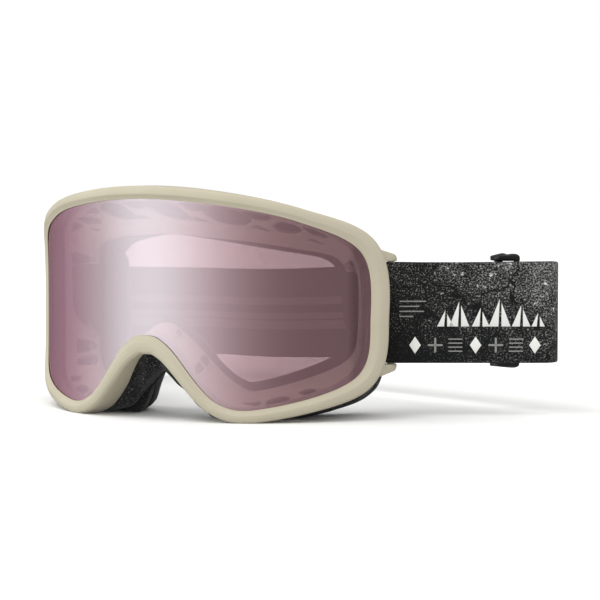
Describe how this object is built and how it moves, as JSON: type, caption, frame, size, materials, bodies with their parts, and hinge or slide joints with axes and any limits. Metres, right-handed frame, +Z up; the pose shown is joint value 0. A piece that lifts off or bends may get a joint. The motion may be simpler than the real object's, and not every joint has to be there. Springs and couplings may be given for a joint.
{
  "type": "snow goggles",
  "caption": "Snow goggles with a cylindrical pink mirror double lens, vented frame, layered face foam, hinged strap outriggers and an elastic strap with a slider.",
  "frame": {"origin": "middle of the nose notch's open mouth, in the plane that the goggles stand on, below the front of the lens", "axes": "+X across the face to the wearer's left, where the strap's slider is; +Y back from the lens to the face; +Z up"},
  "size_m": [0.2537, 0.1732, 0.0918],
  "materials": {
    "rim_plastic": "satin moulded nylon",
    "chassis_plastic": "moulded",
    "outer_lens": "pink mirror coating",
    "inner_lens": "clear",
    "gasket": "closed-cell foam",
    "vent_foam": "open-cell foam",
    "face_foam": "firm foam",
    "soft_foam": "soft foam",
    "fleece": "brushed fleece",
    "pin_steel": "plain",
    "webbing": "woven elastic",
    "webbing_print": "woven elastic, mottled print",
    "silicone": "satin",
    "slider_plastic": "satin"
  },
  "bodies": {
    "frame": {"front_rim": "rim_plastic", "chassis": "chassis_plastic", "outer_lens": "outer_lens", "inner_lens": "inner_lens", "lens_gasket": "gasket", "vent_foam_top": "vent_foam", "vent_foam_bottom": "vent_foam", "foam_base": "face_foam", "foam_soft": "soft_foam", "foam_fleece": "fleece", "hinge_pin_left": "pin_steel", "hinge_pin_right": "pin_steel", "strap_left_end": "webbing", "strap_right_end": "webbing", "strap_front": "webbing_print", "strap_inner": "webbing", "strap_inner_end": "webbing", "strap_rear": "webbing", "strap_grips": "silicone"},
    "outrigger_left": {"outrigger_left": "rim_plastic", "strap_loop_left": "webbing"},
    "outrigger_right": {"outrigger_right": "rim_plastic", "strap_loop_right": "webbing"},
    "slider": {"slider": "slider_plastic", "slider_loop": "webbing"}
  },
  "joints": [
    {"name": "outrigger_left_hinge", "type": "hinge", "parent": "frame", "child": "outrigger_left", "pos_m": [-0.0735, 0.056, 0.0413], "axis": [0, 0, 1], "range_deg": [-6, 12], "deforming": ["strap_left_end"]},
    {"name": "outrigger_right_hinge", "type": "hinge", "parent": "frame", "child": "outrigger_right", "pos_m": [0.0735, 0.056, 0.0413], "axis": [0, 0, 1], "range_deg": [-12, 6], "deforming": ["strap_right_end"]},
    {"name": "slider_slide", "type": "slide", "parent": "frame", "child": "slider", "axis": [-0.9387, 0.3417, -0.045], "range_m": [-0.006, 0.025], "deforming": ["strap_inner_end"]}
  ]
}
